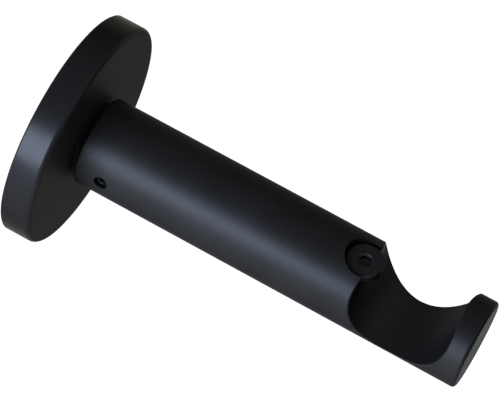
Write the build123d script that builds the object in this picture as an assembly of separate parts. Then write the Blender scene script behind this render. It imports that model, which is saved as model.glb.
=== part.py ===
"""Curtain pole bracket: a wall plate with a spigot, a cover rose, and a round arm with an open cradle.

Millimetres. X runs out from the wall along the arm, Y along the curtain pole, Z up.
The origin is the centre of the wall face, on the arm's axis.
"""

import os

from build123d import *

# Rose: a cup-shaped cover with a raised ring that the arm stands on
rose_d = 51.5
rose_t = 7.0
rose_front_wall = 2.0
rose_side_wall = 3.0
rose_edge_r = 1.15
rose_back_chamfer = 0.3
seat_d = 16.0
seat_h = 1.2

# Wall plate: a disc and a spigot turned in one piece
plate_t = 2.4
spigot_d = 12.0
spigot_chamfer = 0.8
groove_depth = 1.0
wall_hole_d = 4.5
wall_hole_spacing = 31.0

# Arm: a solid round bar
arm_d = 20.0
projection = 100.0
arm_base_chamfer = 0.3
arm_end_edge_r = 0.8
socket_depth = 15.0

# Cradle: a round cut across the arm, open at the top
cradle_r = 11.2
cradle_x = 84.4
cradle_z = 5.6
cradle_chamfer = 0.25

# Pole screw: a low head with a hexagon socket, sunk in the arm and reaching over the cradle.
# It leans towards -Y about the arm's axis, by an angle in degrees, and its top is measured from that axis.
pole_screw_x = 71.95
pole_screw_lean = 6.0
pole_screw_d = 4.0
pole_screw_length = 8.0
pole_screw_tip = 0.5
pole_head_d = 8.2
pole_head_h = 2.2
pole_head_top = 8.35
pole_head_chamfer = 0.2
pole_hex_af = 2.5
pole_hex_depth = 1.3
tap_drill_runout = 1.0

# Grub screw: a headless screw with a cone point, which holds the arm on the spigot
grub_from_base = 6.5
grub_d = 3.0
grub_sink = 0.95
grub_hex_af = 1.5
grub_hex_depth = 1.2

# Clearances, on the radius or along the axis
plate_clearance = 0.25
rose_bore_clearance = 0.2
spigot_clearance = 0.1
socket_end_clearance = 0.5
counterbore_clearance = 0.55
thread_clearance = 0.05
point_clearance = 0.05

# Places that follow from the sizes above
arm_r = arm_d / 2
spigot_r = spigot_d / 2
recess_r = rose_d / 2 - rose_side_wall
arm_base_x = rose_t + seat_h
grub_x = arm_base_x + grub_from_base
socket_end_x = arm_base_x + socket_depth
spigot_end_x = socket_end_x - socket_end_clearance
groove_r = spigot_r - groove_depth
head_seat = pole_head_top - pole_head_h


def turned(*profile):
    """A solid of revolution about the arm's axis, from a closed profile of (x, radius) points."""
    return revolve(make_face(Polyline(*[(x, r, 0) for x, r in profile], close=True)), Axis.X)


def rim(body, x, radius):
    """The circular edge about the arm's axis at a given place and radius."""
    circles = body.edges().filter_by(GeomType.CIRCLE)
    return [e for e in circles if abs(e.radius - radius) < 1e-6 and abs(e.arc_center.X - x) < 1e-6]


def drilled(place, radius, depth):
    """A round hole from the given plane's origin, against the plane's normal."""
    return place * extrude(Circle(radius), -depth)


def on_pole_screw(height):
    """The place on the pole screw's axis at a distance from the arm's axis, facing outwards."""
    return Pos(pole_screw_x, 0, 0) * Rot(pole_screw_lean, 0, 0) * Pos(0, 0, height)


def hex_socket(place, across_flats, depth):
    """A hexagon socket sunk from the given plane, against the plane's normal."""
    return place * extrude(RegularPolygon(across_flats / 2, 6, major_radius=False), -depth)


def make_wall_plate():
    """The disc that is screwed to the wall, with its spigot and the V groove for the grub screw's point."""
    body = turned(
        (0, 0),
        (0, recess_r - plate_clearance),
        (plate_t, recess_r - plate_clearance),
        (plate_t, spigot_r),
        (grub_x - groove_depth, spigot_r),
        (grub_x, groove_r),
        (grub_x + groove_depth, spigot_r),
        (spigot_end_x - spigot_chamfer, spigot_r),
        (spigot_end_x, spigot_r - spigot_chamfer),
        (spigot_end_x, 0),
    )
    front = Plane(origin=(plate_t, 0, 0), x_dir=(0, 1, 0), z_dir=(1, 0, 0))
    for side in (-1, 1):
        body -= drilled(front * Pos(0, side * wall_hole_spacing / 2), wall_hole_d / 2, plate_t)
    return body


def make_rose():
    """The cover: a shallow cup over the wall plate, with the raised ring at its centre."""
    rose_r = rose_d / 2
    bore_r = spigot_r + rose_bore_clearance
    body = turned(
        (0, recess_r),
        (0, rose_r),
        (rose_t, rose_r),
        (rose_t, seat_d / 2),
        (arm_base_x, seat_d / 2),
        (arm_base_x, bore_r),
        (rose_t - rose_front_wall, bore_r),
        (rose_t - rose_front_wall, recess_r),
    )
    body = fillet(rim(body, rose_t, rose_r), rose_edge_r)
    return chamfer(rim(body, 0, rose_r), rose_back_chamfer)


def make_arm():
    """The bar, with the spigot's socket, the tapped cross hole, the cradle and the sunk screw's hole."""
    socket_r = spigot_r + spigot_clearance
    body = turned(
        (arm_base_x, socket_r),
        (arm_base_x, arm_r),
        (projection, arm_r),
        (projection, 0),
        (socket_end_x, 0),
        (socket_end_x, socket_r),
    )
    body = chamfer(rim(body, arm_base_x, arm_r), arm_base_chamfer)
    body = fillet(rim(body, projection, arm_r), arm_end_edge_r)

    across = Plane(origin=(cradle_x, arm_r, cradle_z), x_dir=(1, 0, 0), z_dir=(0, 1, 0))
    body -= drilled(across, cradle_r, arm_d)
    body = chamfer(body.edges().filter_by(GeomType.BSPLINE), cradle_chamfer)

    side = Plane(origin=(grub_x, -arm_r, 0), x_dir=(1, 0, 0), z_dir=(0, -1, 0))
    body -= drilled(side, grub_d / 2 + thread_clearance, arm_r)

    mouth = on_pole_screw(arm_r)
    body -= drilled(mouth, pole_head_d / 2 + counterbore_clearance, arm_r - head_seat)
    tapped_depth = arm_r - head_seat + pole_screw_length + tap_drill_runout
    body -= drilled(mouth, pole_screw_d / 2 + thread_clearance, tapped_depth)
    return body


def make_grub_screw():
    """The headless screw, from its cone point in the spigot's groove out to its hexagon socket."""
    radius = grub_d / 2
    tip = groove_r + point_clearance
    shoulder = tip + radius
    end = arm_r - grub_sink
    side = Plane(origin=(grub_x, 0, 0), x_dir=(1, 0, 0), z_dir=(0, -1, 0))
    point = Pos(0, 0, tip + radius / 2) * Cone(0, radius, radius)
    thread = Pos(0, 0, shoulder) * extrude(Circle(radius), end - shoulder)
    body = side * (point + thread)
    return body - hex_socket(side * Pos(0, 0, end), grub_hex_af, grub_hex_depth)


def make_pole_screw():
    """The low-headed screw, with its head seated in the counterbore."""
    top = on_pole_screw(pole_head_top)
    head = drilled(top, pole_head_d / 2, pole_head_h)
    head = chamfer(head.edges().filter_by(GeomType.CIRCLE).sort_by(Axis.Z)[-1], pole_head_chamfer)
    shank = drilled(on_pole_screw(head_seat), pole_screw_d / 2, pole_screw_length)
    shank = chamfer(shank.edges().filter_by(GeomType.CIRCLE).sort_by(Axis.Z)[0], pole_screw_tip)
    return head + shank - hex_socket(top, pole_hex_af, pole_hex_depth)


parts = {
    "wall_plate": make_wall_plate(),
    "rose": make_rose(),
    "arm": make_arm(),
    "grub_screw": make_grub_screw(),
    "pole_screw": make_pole_screw(),
}

os.makedirs("parts", exist_ok=True)
for name, part in parts.items():
    export_step(part, f"parts/{name}.step")
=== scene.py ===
"""Looks of the curtain pole bracket: satin black coats, threaded dark screws, zinc-plated wall plate."""

import math

import bmesh
import bpy
from mathutils import Matrix, Vector


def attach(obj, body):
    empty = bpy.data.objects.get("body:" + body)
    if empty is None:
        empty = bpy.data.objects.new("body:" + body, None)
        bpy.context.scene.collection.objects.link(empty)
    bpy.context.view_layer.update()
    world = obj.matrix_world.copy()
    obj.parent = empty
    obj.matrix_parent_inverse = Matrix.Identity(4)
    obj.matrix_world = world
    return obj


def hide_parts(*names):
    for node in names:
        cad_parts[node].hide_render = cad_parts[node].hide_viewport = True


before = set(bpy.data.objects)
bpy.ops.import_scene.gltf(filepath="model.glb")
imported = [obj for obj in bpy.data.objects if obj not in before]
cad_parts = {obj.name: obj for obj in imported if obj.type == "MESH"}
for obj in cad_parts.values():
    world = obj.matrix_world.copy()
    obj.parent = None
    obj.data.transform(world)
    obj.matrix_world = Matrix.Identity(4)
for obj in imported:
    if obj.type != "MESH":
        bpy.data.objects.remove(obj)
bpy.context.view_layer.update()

MM = 0.001

# Camera: a long lens that looks down on the front of the arm, rolled so that the arm falls to the right
camera_eye = Vector((138.08, -348.18, 419.94)) * MM
camera_aim = Vector((43.66, 2.519, 3.558)) * MM
camera_roll = 16.894
camera_lens = 189.15
camera_sensor = 36.0
camera_nearest = 0.01
camera_farthest = 50.0

# Screws, in millimetres: the outer end's middle, the turn from +Z to -Y in degrees, sizes and shades, with
# painted light on the socket floor
pole_screw = {
    "top": (71.95, -0.8728, 8.3043),
    "turn": 6.0,
    "head_r": 4.1,
    "head_h": 2.2,
    "edge_r": 0.25,
    "hex_af": 2.5,
    "hex_depth": 1.3,
    "hex_mouth": 0.18,
    "grey": 0.038,
    # Painted light: the socket's floor is painted lighter than the head, as if lit
    "floor_grey": 0.055,
    "thread_r": 2.0,
    "pitch": 0.7,
    "length": 8.0,
    "point_h": 0.5,
    "point_r": 1.5,
}
grub_screw = {
    "top": (14.7, -9.05, 0.0),
    "turn": 90.0,
    "head_r": 0.0,
    "head_h": 0.0,
    "edge_r": 0.2,
    "hex_af": 1.5,
    "hex_depth": 1.2,
    "hex_mouth": 0.08,
    "grey": 0.02,
    "floor_grey": 0.02,
    "thread_r": 1.5,
    "pitch": 0.5,
    "length": 4.0,
    "point_h": 1.5,
    "point_r": 0.0,
}
screw_columns = 72
screw_edge_steps = 8
rows_per_turn = 12

# Thread: crest and flank as shares of half a pitch, and the depth as a share of the pitch
thread_crest = 0.125
thread_flank = 0.625
thread_depth = 0.54

# Screw details: depth of the socket's drill point, slope of its mouth, chamfer under the head
drill_point = 0.2
mouth_slope = 0.8
head_chamfer = 0.1

# Rose, in millimetres: a cup with a rounded front edge and a raised ring for the arm
rose = {
    "radius": 25.75,
    "thickness": 7.0,
    "edge_r": 1.15,
    "edge_hold": 0.04,
    "back_chamfer": 0.3,
    "recess_r": 22.75,
    "recess_depth": 5.0,
    "seat_r": 8.0,
    "seat_top": 8.2,
    "bore_r": 6.2,
}
rose_columns = 240
rose_edge_steps = 12

# Turned meshes: the angle at which an edge turns sharp, and the distances, in metres, that are closed up
sharp_angle = math.radians(32)
weld_distance = 1e-8
sliver_length = 1e-9

# Coats: black, painted shade in recesses, share of metal, roughness round the axis and in front, tint if
# grazed
arm_coat = {
    "black": 0.0345,
    "painted_recess_shade": 0.02,
    "metal": 0.72,
    "rough": 0.46,
    "face_rough": 0.4,
    "edge_tint": (0.44, 0.44, 0.44, 1),
}
rose_coat = {
    "black": 0.0288,
    "painted_recess_shade": 0.028,
    "metal": 0.54,
    "rough": 0.28,
    "face_rough": 0.5,
    "edge_tint": (0.515, 0.503, 0.48, 1),
}

# Marks in both coats: noise as scale and detail, shares of the black, wear, and lengths in metres
coat_marks = {
    "cloud": (70.0, 4.0),
    "grain": (3600.0, 3.0),
    "rubbing": (400.0, 3.0),
    "rubbed_from": 0.35,
    "rubbed_to": 0.7,
    "least_wear": 0.05,
    "most_wear": 0.6,
    "worn_grey": 0.05,
    "dark": 0.9,
    "light": 1.1,
    "rough_drift": 0.025,
    "edge_r": 0.00025,
    # How far into holes and gaps the painted shade reaches
    "painted_shade_reach": 0.004,
    "bump": 0.2,
    "bump_depth": 0.000008,
}

# Blackened steel: noise as scale and detail, shares of the screw's sizes and grey, lengths in metres, and
# the grey of painted shade
steel = {
    "cloud": (900.0, 3.0),
    "ring_scale": 7000.0,
    "dark": 0.8,
    "light": 1.2,
    "edge": 1.6,
    "edge_r": 0.00015,
    # Painted shade: below these heights the head's side and the socket are painted dark
    "painted_shade_from": -0.0003,
    "painted_shade_to": -0.0006,
    "painted_shade_grey": 0.018,
    "floor_in": 0.55,
    "floor_out": 0.6,
    "floor_near": 0.9,
    "smooth": 0.34,
    "rough": 0.46,
    "metal": 0.65,
    "edge_tint": (0.36, 0.36, 0.36, 1),
    "bump": 0.3,
    "bump_depth": 0.00001,
}

# Zinc plate: noise as scale and detail, colours, roughness, and lengths in metres
zinc = {
    "cloud": (160.0, 4.0),
    "ring_scale": 1500.0,
    "shade_from": 0.7,
    "shade_to": 1.3,
    "dark": (0.47, 0.48, 0.5, 1),
    "light": (0.61, 0.62, 0.63, 1),
    "edge": (0.75, 0.75, 0.76, 1),
    "edge_r": 0.0003,
    "smooth": 0.28,
    "rough": 0.46,
    "bump": 0.4,
    "bump_depth": 0.00002,
}

# Masks: the usual range of noise, the cosine at bent edges, how open a recess is, and a normal's X
noise_low = 0.3
noise_high = 0.7
bend_from = 0.985
bend_to = 0.9
recess_from = 0.85
recess_to = 0.55
side_x = 0.6
face_x = 0.95
bevel_samples = 6
recess_samples = 8

# A Mix node's sockets for colours, by number, because those for numbers have the same names
mix_a = 6
mix_b = 7
mix_result = 2

# Studio, in metres: the floor below the arm, and the black flag at the right
white = (1, 1, 1, 1)
studio_rough = 0.9
floor_z = -0.16
floor_half = 8.0
floor_grey = 0.4
floor_glow = 0.93
flag_x = 0.42
flag_near = -0.5
flag_far = 0.4
flag_top = 0.2
flag_grey = 0.02

# Light: the softbox at the front left, in metres, and the world's horizon and ceiling by direction
softbox_eye = Vector((-0.265, -0.928, 0.275))
softbox_aim = Vector((0.05, 0.0, 0.0))
softbox_width = 0.47
softbox_height = 0.53
softbox_radiance = 16.3
softbox_colour = (0.62, 0.74, 1.0)
horizon_z = 0.08
ceiling_z = 0.24
ceiling_left_x = 0.0
ceiling_right_x = 0.8
ceiling_left = (0.13, 0.124, 0.113, 1)
ceiling_right = (0.5, 0.485, 0.455, 1)


class Nodes:
    """The node tree of a material or world, with short ways to add and join nodes."""

    def __init__(self, owner, shader):
        owner.use_nodes = True
        self.owner = owner
        self.tree = owner.node_tree
        self.shader = self.tree.nodes[shader]

    def add(self, kind, settings=None, **inputs):
        """A node of a kind, with its settings and its input values or links."""
        node = self.tree.nodes.new(kind)
        for key, value in (settings or {}).items():
            setattr(node, key, value)
        for key, value in inputs.items():
            self.feed(node.inputs[key.replace("_", " ")], value)
        return node

    def feed(self, socket, value):
        """Links an output to a socket, or sets the socket's own value."""
        if isinstance(value, bpy.types.NodeSocket):
            self.tree.links.new(value, socket)
        else:
            socket.default_value = value

    def set(self, **inputs):
        """Sets or links the shader's own sockets."""
        for key, value in inputs.items():
            self.feed(self.shader.inputs[key.replace("_", " ")], value)

    def place(self, kind):
        """Coordinates of a kind, such as those of the piece itself."""
        return self.add("ShaderNodeTexCoord").outputs[kind]

    def split(self, vector):
        """The X, Y and Z of a vector."""
        return self.add("ShaderNodeSeparateXYZ", Vector=vector).outputs

    def span(self, value, low, high, to_low=0.0, to_high=1.0):
        """A number carried from one range to another, and held at the ends."""
        node = self.add("ShaderNodeMapRange", Value=value, From_Min=low, From_Max=high)
        self.feed(node.inputs["To Min"], to_low)
        self.feed(node.inputs["To Max"], to_high)
        return node.outputs["Result"]

    def combine(self, operation, a, b):
        """The sum, product or larger of two numbers."""
        node = self.add("ShaderNodeMath", {"operation": operation})
        self.feed(node.inputs[0], a)
        self.feed(node.inputs[1], b)
        return node.outputs["Value"]

    def mix(self, factor, a, b):
        """A colour between two others."""
        node = self.add("ShaderNodeMix", {"data_type": "RGBA"})
        self.feed(node.inputs["Factor"], factor)
        self.feed(node.inputs[mix_a], a)
        self.feed(node.inputs[mix_b], b)
        return node.outputs[mix_result]

    def greys(self, factor, low, high):
        """A grey that goes from a low to a high shade with soft noise."""
        return self.mix(self.span(factor, noise_low, noise_high), grey(low), grey(high))

    def noise(self, place, scale, detail):
        """Soft noise in the piece's own coordinates."""
        return self.add("ShaderNodeTexNoise", Vector=place, Scale=scale, Detail=detail).outputs["Fac"]

    def radius(self, place, across, along):
        """The distance from an axis, measured in the two named directions."""
        parts = self.split(place)
        flat = self.add("ShaderNodeCombineXYZ", X=parts[across], Y=parts[along])
        length = self.add("ShaderNodeVectorMath", {"operation": "LENGTH"})
        self.feed(length.inputs[0], flat.outputs["Vector"])
        return length.outputs["Value"]

    def rings(self, radius, scale):
        """Fine rings about an axis, by the distance from it."""
        line = self.add("ShaderNodeTexNoise", {"noise_dimensions": "1D"}, W=radius, Scale=scale)
        return line.outputs["Fac"]

    def bump(self, height, look, **inputs):
        """The surface's direction with fine relief, of the strength and depth that a look gives."""
        relief = self.add("ShaderNodeBump", Height=height, **inputs)
        self.feed(relief.inputs["Strength"], look["bump"])
        self.feed(relief.inputs["Distance"], look["bump_depth"])
        return relief.outputs["Normal"]

    def soft_normal(self, radius):
        """The surface's direction, with the edges rounded by a radius."""
        return self.add("ShaderNodeBevel", {"samples": bevel_samples}, Radius=radius).outputs["Normal"]

    def edge_mask(self, rounded):
        """1 at sharp edges and 0 on the open faces, from the rounded direction."""
        plain = self.add("ShaderNodeNewGeometry").outputs["Normal"]
        dot = self.add("ShaderNodeVectorMath", {"operation": "DOT_PRODUCT"})
        self.feed(dot.inputs[0], rounded)
        self.feed(dot.inputs[1], plain)
        return self.span(dot.outputs["Value"], bend_from, bend_to)

    def painted_shade_mask(self, reach):
        """1 in holes and gaps of about a given width, and 0 on the open faces, for painted shade."""
        node = self.add("ShaderNodeAmbientOcclusion", {"samples": recess_samples}, Distance=reach)
        return self.span(node.outputs["AO"], recess_from, recess_to)

    def axial(self, low, high):
        """One number round the arm's axis, and another on the faces that look out from the wall."""
        return self.span(self.split(self.place("Normal"))["X"], side_x, face_x, low, high)

    def seen_directly(self):
        """1 for camera, glossy and transmission rays, and 0 for the rays that only carry light."""
        path = self.add("ShaderNodeLightPath").outputs
        mirrored = self.combine("MAXIMUM", path["Is Glossy Ray"], path["Is Transmission Ray"])
        return self.combine("MAXIMUM", path["Is Camera Ray"], mirrored)


def grey(shade):
    """A plain grey as a colour."""
    return (shade, shade, shade, 1)


def material_nodes(name):
    """The nodes of a new material."""
    return Nodes(bpy.data.materials.new(name), "Principled BSDF")


def coat_wear(n, place, rounded):
    """How far the coat is rubbed at its edges, unevenly along them."""
    noise = n.noise(place, *coat_marks["rubbing"])
    least = coat_marks["least_wear"]
    most = coat_marks["most_wear"]
    rubbed = n.span(noise, coat_marks["rubbed_from"], coat_marks["rubbed_to"], least, most)
    return n.combine("MULTIPLY", n.edge_mask(rounded), rubbed)


def satin_coat(name, coat):
    """Satin black coating, with fine grain, slow changes of sheen, rubbed edges and painted shade in
    recesses.
    """
    n = material_nodes(name)
    place = n.place("Object")
    cloud = n.noise(place, *coat_marks["cloud"])
    grain = n.noise(place, *coat_marks["grain"])
    rounded = n.soft_normal(coat_marks["edge_r"])
    black = n.greys(cloud, coat_marks["dark"] * coat["black"], coat_marks["light"] * coat["black"])
    worn = n.mix(coat_wear(n, place, rounded), black, grey(coat_marks["worn_grey"]))
    # Painted shade: holes and gaps, where shade falls, are painted darker
    colour = n.mix(n.painted_shade_mask(coat_marks["painted_shade_reach"]), worn, grey(coat["painted_recess_shade"]))
    drift = coat_marks["rough_drift"]
    uneven = n.span(cloud, noise_low, noise_high, -drift, drift)
    rough = n.combine("ADD", n.axial(coat["rough"], coat["face_rough"]), uneven)
    n.set(Base_Color=colour, Roughness=rough, Normal=n.bump(grain, coat_marks, Normal=rounded))
    n.set(Metallic=coat["metal"], Specular_IOR_Level=0.0, Specular_Tint=coat["edge_tint"])
    return n.owner


def socket_floor(n, radius, height, size):
    """1 on the floor of a screw's socket, where it is painted lighter as if lit, and 0 elsewhere."""
    width = size["hex_af"] * MM
    bottom = -size["hex_depth"] * MM
    inner = n.span(radius, steel["floor_in"] * width, steel["floor_out"] * width, 1.0, 0.0)
    deep = n.span(height, steel["floor_near"] * bottom, bottom)
    return n.combine("MULTIPLY", inner, deep)


def dark_steel(name, size):
    """Blackened steel with faint turning marks, painted shade below its end, and painted light on the
    socket's floor.
    """
    n = material_nodes(name)
    place = n.place("Object")
    radius = n.radius(place, "X", "Y")
    height = n.split(place)["Z"]
    cloud = n.noise(place, *steel["cloud"])
    edges = n.edge_mask(n.soft_normal(steel["edge_r"]))
    face = n.greys(cloud, steel["dark"] * size["grey"], steel["light"] * size["grey"])
    end = n.mix(edges, face, grey(steel["edge"] * size["grey"]))
    floor = socket_floor(n, radius, height, size)
    # Painted shade on the head's side and in the socket, and painted light on the socket's floor
    below = n.mix(floor, grey(steel["painted_shade_grey"]), grey(size["floor_grey"]))
    colour = n.mix(n.span(height, steel["painted_shade_from"], steel["painted_shade_to"]), end, below)
    rough = n.span(cloud, noise_low, noise_high, steel["smooth"], steel["rough"])
    marks = n.rings(radius, steel["ring_scale"])
    n.set(Base_Color=colour, Roughness=rough, Normal=n.bump(marks, steel))
    n.set(Metallic=steel["metal"], Specular_IOR_Level=0.0, Specular_Tint=steel["edge_tint"])
    return n.owner


def zinc_plate(name):
    """Zinc-plated steel with the lathe's rings about the arm's axis."""
    n = material_nodes(name)
    place = n.place("Object")
    rings = n.rings(n.radius(place, "Y", "Z"), zinc["ring_scale"])
    uneven = n.combine("ADD", n.noise(place, *zinc["cloud"]), rings)
    face = n.mix(n.span(uneven, zinc["shade_from"], zinc["shade_to"]), zinc["dark"], zinc["light"])
    colour = n.mix(n.edge_mask(n.soft_normal(zinc["edge_r"])), face, zinc["edge"])
    rough = n.span(rings, noise_low, noise_high, zinc["smooth"], zinc["rough"])
    n.set(Base_Color=colour, Roughness=rough, Normal=n.bump(rings, zinc), Metallic=1.0)
    return n.owner


def hex_radius(across_flats, angle):
    """The distance from a hexagon's centre to its side, in a direction."""
    return across_flats / 2 / math.cos(angle % math.radians(60) - math.radians(30))


def thread_radius(size, angle, height):
    """A right-hand thread's radius at a place, with its run-out and its point."""
    start = -size["head_h"]
    end = start - size["length"]
    turn = (height / size["pitch"] - angle / math.tau) % 1.0
    drop = min(1.0, max(0.0, (abs(turn - 0.5) * 2 - thread_crest) / thread_flank))
    run_out = min(1.0, (start - height) / size["pitch"])
    radius = size["thread_r"] - thread_depth * size["pitch"] * drop * run_out
    slope = (size["thread_r"] - size["point_r"]) / size["point_h"]
    return min(radius, size["point_r"] + slope * (height - end))


def ring(radius, height):
    """A round row: its radius and height, the same at every angle."""
    return lambda angle: (radius, height)


def quarter_round(radius, height, edge_r, steps):
    """Round rows over a rounded outer edge, from its inner side to its lower side."""
    rows = []
    for step in range(steps + 1):
        angle = math.radians(90 * step / steps)
        inwards = edge_r * (1 - math.sin(angle))
        down = edge_r * (1 - math.cos(angle))
        rows.append(ring(radius - inwards, height - down))
    return rows


def rose_rows():
    """Rows of the rose from the bore's front over the face, the edge and the back to the bore again."""
    outer_r = rose["radius"]
    front = rose["thickness"]
    edge_r = rose["edge_r"]
    held = edge_r + rose["edge_hold"]
    chamfer = rose["back_chamfer"]
    rows = [ring(rose["bore_r"], rose["seat_top"]), ring(rose["seat_r"], rose["seat_top"])]
    rows += [ring(rose["seat_r"], front), ring(outer_r - held, front)]
    rows += quarter_round(outer_r, front, edge_r, rose_edge_steps)
    rows += [ring(outer_r, front - held), ring(outer_r, chamfer), ring(outer_r - chamfer, 0.0)]
    rows += [ring(rose["recess_r"], 0.0), ring(rose["recess_r"], rose["recess_depth"])]
    rows += [ring(rose["bore_r"], rose["recess_depth"]), ring(rose["bore_r"], rose["seat_top"])]
    return rows


def socket_rows(size):
    """Rows of a screw's socket, from its floor's drilled middle up the six sides and over the mouth."""
    floor = -size["hex_depth"]
    mouth_r = size["hex_af"] / math.sqrt(3) + size["hex_mouth"]

    def hexagon(share, height):
        return lambda angle: (share * hex_radius(size["hex_af"], angle), height)

    def mouth(angle):
        side = hex_radius(size["hex_af"], angle)
        return side, -mouth_slope * (mouth_r - side)

    rows = [ring(0.0, floor - drill_point), hexagon(0.5, floor - drill_point / 2), hexagon(1.0, floor)]
    return rows + [mouth, ring(mouth_r, 0.0)]


def thread_rows(size, start):
    """Rows of a screw's thread, from a height down to its end."""
    end = -size["head_h"] - size["length"]
    count = int(rows_per_turn * (start - end) / size["pitch"])

    def threaded(height):
        return lambda angle: (thread_radius(size, angle, height), height)

    return [threaded(start + (end - start) * step / count) for step in range(1, count + 1)]


def screw_rows(size):
    """Rows of a screw from its socket, over its end and under its head, if it has one, to its point."""
    outer_r = size["head_r"] or size["thread_r"]
    rows = socket_rows(size) + quarter_round(outer_r, 0.0, size["edge_r"], screw_edge_steps)
    if size["head_r"]:
        start = -size["head_h"]
        rows += [ring(outer_r, start + head_chamfer), ring(outer_r - head_chamfer, start)]
        rows += [ring(size["thread_r"], start)]
    else:
        start = -size["edge_r"]
    rows += thread_rows(size, start)
    if size["point_r"]:
        rows += [ring(0.0, -size["head_h"] - size["length"])]
    return rows


def turned_mesh(name, rows, columns):
    """A closed mesh from rows about Z. A row of radius 0 becomes one point, and equal rows become one."""
    mesh = bpy.data.meshes.new(name)
    shape = bmesh.new()
    grid = []
    for row in rows:
        points = []
        for column in range(columns):
            angle = math.tau * column / columns
            radius, height = row(angle)
            point = Vector((radius * math.cos(angle), radius * math.sin(angle), height))
            points.append(shape.verts.new(point * MM))
        grid.append(points)
    for upper, lower in zip(grid, grid[1:]):
        for column in range(columns):
            after = (column + 1) % columns
            shape.faces.new((upper[column], lower[column], lower[after], upper[after]))
    bmesh.ops.remove_doubles(shape, verts=shape.verts, dist=weld_distance)
    bmesh.ops.dissolve_degenerate(shape, edges=shape.edges, dist=sliver_length)
    bmesh.ops.recalc_face_normals(shape, faces=shape.faces)
    for face in shape.faces:
        face.smooth = True
    for edge in shape.edges:
        edge.smooth = edge.calc_face_angle(0.0) < sharp_angle
    shape.to_mesh(mesh)
    shape.free()
    return mesh


def add_piece(mesh, material, node):
    """A piece on the root body that takes the place of a CAD node, which it hides."""
    mesh.materials.append(material)
    piece = bpy.data.objects.new(mesh.name, mesh)
    bpy.context.scene.collection.objects.link(piece)
    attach(piece, "root")
    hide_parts(node)
    return piece


def add_rose():
    """The rose, turned finely about the arm's axis."""
    mesh = turned_mesh("rose_turned", rose_rows(), rose_columns)
    mesh.transform(Matrix.Rotation(math.radians(90), 4, "Y"))
    add_piece(mesh, satin_coat("rose_satin_black", rose_coat), "rose")


def add_screw(name, node, size):
    """A screw with its thread and socket, in the place of its CAD node."""
    mesh = turned_mesh(name, screw_rows(size), screw_columns)
    turn = Matrix.Rotation(math.radians(size["turn"]), 4, "X")
    piece = add_piece(mesh, dark_steel(name + "_steel", size), node)
    piece.matrix_world = Matrix.Translation(Vector(size["top"]) * MM) @ turn


def paint(node, material):
    """Gives a CAD node's mesh a new material."""
    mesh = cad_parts[node].data
    mesh.materials.clear()
    mesh.materials.append(material)


def aim(thing, eye, target, roll=0.0):
    """Stands a camera or lamp at a point, facing another, turned about its own line of sight."""
    turn = (target - eye).to_track_quat("-Z", "Y").to_matrix()
    turn = turn @ Matrix.Rotation(math.radians(roll), 3, "Z")
    thing.matrix_world = Matrix.LocRotScale(eye, turn, None)


def add_camera():
    """The camera that takes the photo's view."""
    lens = bpy.data.cameras.new("camera")
    lens.sensor_fit = "HORIZONTAL"
    lens.sensor_width = camera_sensor
    lens.lens = camera_lens
    lens.clip_start = camera_nearest
    lens.clip_end = camera_farthest
    camera = bpy.data.objects.new("camera", lens)
    bpy.context.scene.collection.objects.link(camera)
    aim(camera, camera_eye, camera_aim, camera_roll)
    bpy.context.scene.camera = camera


def add_softbox():
    """A rectangular lamp whose face has a given radiance."""
    lamp = bpy.data.lights.new("softbox", "AREA")
    lamp.shape = "RECTANGLE"
    lamp.size = softbox_width
    lamp.size_y = softbox_height
    lamp.energy = softbox_radiance * math.pi * softbox_width * softbox_height
    lamp.color = softbox_colour
    box = bpy.data.objects.new("softbox", lamp)
    bpy.context.scene.collection.objects.link(box)
    aim(box, softbox_eye, softbox_aim)


def add_card(name, corners, material):
    """A flat four-cornered piece of the studio."""
    mesh = bpy.data.meshes.new(name)
    mesh.from_pydata(corners, [], [(0, 1, 2, 3)])
    mesh.materials.append(material)
    card = bpy.data.objects.new(name, mesh)
    bpy.context.scene.collection.objects.link(card)
    return card


def add_floor():
    """A wide floor, well below the arm, that shows white and still takes shadows."""
    n = material_nodes("floor")
    glow = n.combine("MULTIPLY", n.seen_directly(), floor_glow)
    n.set(Base_Color=grey(floor_grey), Roughness=studio_rough, Specular_IOR_Level=0.0)
    n.set(Emission_Color=white, Emission_Strength=glow)
    half = floor_half
    front = [(-half, -half, floor_z), (half, -half, floor_z)]
    back = [(half, half, floor_z), (-half, half, floor_z)]
    add_card("floor", front + back, n.owner)


def add_flag():
    """A black card at the right, out of the picture, that the rounded edges show as their dark side."""
    n = material_nodes("flag")
    n.set(Base_Color=grey(flag_grey), Roughness=studio_rough, Specular_IOR_Level=0.0)
    foot = [(flag_x, flag_near, floor_z), (flag_x, flag_far, floor_z)]
    head = [(flag_x, flag_far, flag_top), (flag_x, flag_near, flag_top)]
    card = add_card("flag", foot + head, n.owner)
    card.visible_camera = False


def set_world():
    """A studio with a white band at the horizon and a dim ceiling that is lighter on the right."""
    n = Nodes(bpy.data.worlds.new("studio"), "Background")
    way = n.split(n.place("Generated"))
    ceiling = n.mix(n.span(way["X"], ceiling_left_x, ceiling_right_x), ceiling_left, ceiling_right)
    n.set(Color=n.mix(n.span(way["Z"], horizon_z, ceiling_z), white, ceiling))
    bpy.context.scene.world = n.owner


paint("arm", satin_coat("arm_satin_black", arm_coat))
paint("wall_plate", zinc_plate("zinc_plate"))
add_rose()
add_screw("pole_screw_threaded", "pole_screw", pole_screw)
add_screw("grub_screw_threaded", "grub_screw", grub_screw)

add_camera()
set_world()
add_floor()
add_flag()
add_softbox()
bpy.context.scene.view_settings.view_transform = "Standard"
